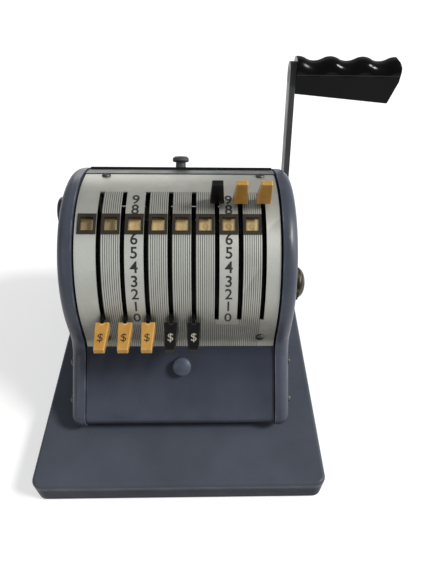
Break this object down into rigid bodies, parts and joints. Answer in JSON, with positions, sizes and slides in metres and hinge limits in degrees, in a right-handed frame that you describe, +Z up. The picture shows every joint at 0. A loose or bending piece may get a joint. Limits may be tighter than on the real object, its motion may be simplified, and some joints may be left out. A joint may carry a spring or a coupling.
{
  "type": "check writer",
  "caption": "Desk check writer with a curved face plate, digit levers in slots, windows, a side pull handle with a finger grip and a paper throat over a flat base.",
  "frame": {"origin": "centre of the machine's footprint, handle grip included, on the desk under the rubber feet", "axes": "+X to the user's right, towards the handle; +Y away from the user; +Z up"},
  "size_m": [0.2884, 0.27, 0.2387],
  "materials": {
    "casing_paint": "satin blue-grey enamel",
    "base_paint": "satin blue-grey enamel",
    "strip_paint": "satin mid-grey enamel",
    "black_paint": "semi-gloss black enamel",
    "plate_metal": "brushed, with printed fine dark lines and digits",
    "frame_plastic": "moulded dark brown-black",
    "window_plastic": "cream window",
    "tab_yellow": "moulded amber yellow",
    "tab_black": "moulded black",
    "grip_plastic": "polished black",
    "button_plastic": "dark blue-grey",
    "knob_plastic": "moulded grey",
    "cap_plastic": "moulded black",
    "arm_paint": "satin dark grey enamel",
    "brass": "turned",
    "lock_brass": "darkened, with worn olive rings",
    "steel": "bright",
    "dark_steel": "oiled",
    "wheel_metal": "die-cast",
    "rubber": "moulded black rubber",
    "ribbon_fabric": "inked cloth",
    "spool_plastic": "moulded black"
  },
  "bodies": {
    "housing": {"axle_collars": "steel", "base_casting": "base_paint", "base_screws": "steel", "bottom_cover": "dark_steel", "button_bracket": "dark_steel", "button_spring": "steel", "cover_hinge_pin": "steel", "cross_rods": "steel", "detent_bar": "dark_steel", "detent_springs": "steel", "face_plate": "plate_metal", "face_plate_screws": "steel", "front_apron": "casing_paint", "left_side_casting": "casing_paint", "lock_bezel": "lock_brass", "rear_cover": "casing_paint", "rear_cover_screws": "steel", "return_spring": "steel", "ribbon": "ribbon_fabric", "ribbon_spindles": "steel", "right_side_casting": "casing_paint", "rubber_feet": "rubber", "shaft_bushes": "brass", "side_cap": "cap_plastic", "side_screws": "steel", "top_bridge": "strip_paint", "wheel_axle": "steel", "window_frames": "frame_plastic", "window_lenses": "window_plastic"},
    "handle": {"crank_shaft": "steel", "lift_cams": "dark_steel", "handle_arm": "arm_paint", "handle_grip": "grip_plastic", "grip_bolt": "steel", "hub_nut": "steel"},
    "platen": {"platen_bar": "rubber", "platen_yokes": "dark_steel", "follower_rollers": "steel"},
    "wheel_1": {"type_wheel_1": "wheel_metal", "lever_tab_1": "tab_yellow"},
    "wheel_2": {"type_wheel_2": "wheel_metal", "lever_tab_2": "tab_yellow"},
    "wheel_3": {"type_wheel_3": "wheel_metal", "lever_tab_3": "tab_yellow"},
    "wheel_4": {"type_wheel_4": "wheel_metal", "lever_tab_4": "tab_black"},
    "wheel_5": {"type_wheel_5": "wheel_metal", "lever_tab_5": "tab_black"},
    "wheel_6": {"type_wheel_6": "wheel_metal", "lever_tab_6": "tab_black"},
    "wheel_7": {"type_wheel_7": "wheel_metal", "lever_tab_7": "tab_yellow"},
    "wheel_8": {"type_wheel_8": "wheel_metal", "lever_tab_8": "tab_yellow"},
    "lid": {"ribbon_cover": "black_paint"},
    "knob": {"cover_knob": "knob_plastic"},
    "button": {"release_button": "button_plastic"},
    "lock": {"lock_barrel": "lock_brass"},
    "front_spool": {"front_ribbon_spool": "spool_plastic"},
    "rear_spool": {"rear_ribbon_spool": "spool_plastic"}
  },
  "joints": [
    {"name": "handle_pull", "type": "hinge", "parent": "housing", "child": "handle", "pos_m": [-0.03315, 0.0711, 0.1054], "axis": [1, 0, 0], "range_deg": [0, 65], "stiffness_Nm_per_rad": 0.3, "springref_deg": -22.92},
    {"name": "platen_lift", "type": "slide", "parent": "housing", "child": "platen", "axis": [0, 0, 1], "range_m": [0, 0.0048]},
    {"name": "lever_1", "type": "hinge", "parent": "housing", "child": "wheel_1", "pos_m": [-0.08945, 0.0285, 0.1043], "axis": [-1, 0, 0], "range_deg": [0, 72.36]},
    {"name": "lever_2", "type": "hinge", "parent": "housing", "child": "wheel_2", "pos_m": [-0.07265, 0.0285, 0.1043], "axis": [-1, 0, 0], "range_deg": [0, 72.36]},
    {"name": "lever_3", "type": "hinge", "parent": "housing", "child": "wheel_3", "pos_m": [-0.05585, 0.0285, 0.1043], "axis": [-1, 0, 0], "range_deg": [0, 72.36]},
    {"name": "lever_4", "type": "hinge", "parent": "housing", "child": "wheel_4", "pos_m": [-0.03905, 0.0285, 0.1043], "axis": [-1, 0, 0], "range_deg": [0, 72.36]},
    {"name": "lever_5", "type": "hinge", "parent": "housing", "child": "wheel_5", "pos_m": [-0.02225, 0.0285, 0.1043], "axis": [-1, 0, 0], "range_deg": [0, 72.36]},
    {"name": "lever_6", "type": "hinge", "parent": "housing", "child": "wheel_6", "pos_m": [-0.00545, 0.0285, 0.1043], "axis": [-1, 0, 0], "range_deg": [-72.36, 0]},
    {"name": "lever_7", "type": "hinge", "parent": "housing", "child": "wheel_7", "pos_m": [0.01135, 0.0285, 0.1043], "axis": [-1, 0, 0], "range_deg": [-72.36, 0]},
    {"name": "lever_8", "type": "hinge", "parent": "housing", "child": "wheel_8", "pos_m": [0.02815, 0.0285, 0.1043], "axis": [-1, 0, 0], "range_deg": [-72.36, 0]},
    {"name": "cover_open", "type": "hinge", "parent": "housing", "child": "lid", "pos_m": [-0.03315, 0.10142, 0.11068], "axis": [-1, 0, 0], "range_deg": [0, 90]},
    {"name": "knob_turn", "type": "hinge", "parent": "lid", "child": "knob", "pos_m": [-0.03415, 0.07217, 0.16441], "axis": [0, 0.5878, 0.809], "continuous": true},
    {"name": "button_push", "type": "slide", "parent": "housing", "child": "button", "axis": [0, 0.6665, -0.7455], "range_m": [0, 0.003], "stiffness_N_per_m": 300, "springref_m": -0.002, "deforming": ["button_spring"]},
    {"name": "lock_turn", "type": "hinge", "parent": "housing", "child": "lock", "pos_m": [-0.03315, -0.021, 0.1256], "axis": [1, 0, 0], "range_deg": [0, 90]},
    {"name": "front_spool_turn", "type": "hinge", "parent": "housing", "child": "front_spool", "pos_m": [-0.03315, -0.05, 0.042], "axis": [1, 0, 0], "continuous": true},
    {"name": "rear_spool_turn", "type": "hinge", "parent": "housing", "child": "rear_spool", "pos_m": [-0.03315, 0.091, 0.0465], "axis": [1, 0, 0], "continuous": true}
  ],
  "couplings": [
    {"joint": "platen_lift", "follows": "handle_pull", "m_per_rad": 0.00423},
    {"joint": "rear_spool_turn", "follows": "front_spool_turn", "ratio": 1}
  ]
}
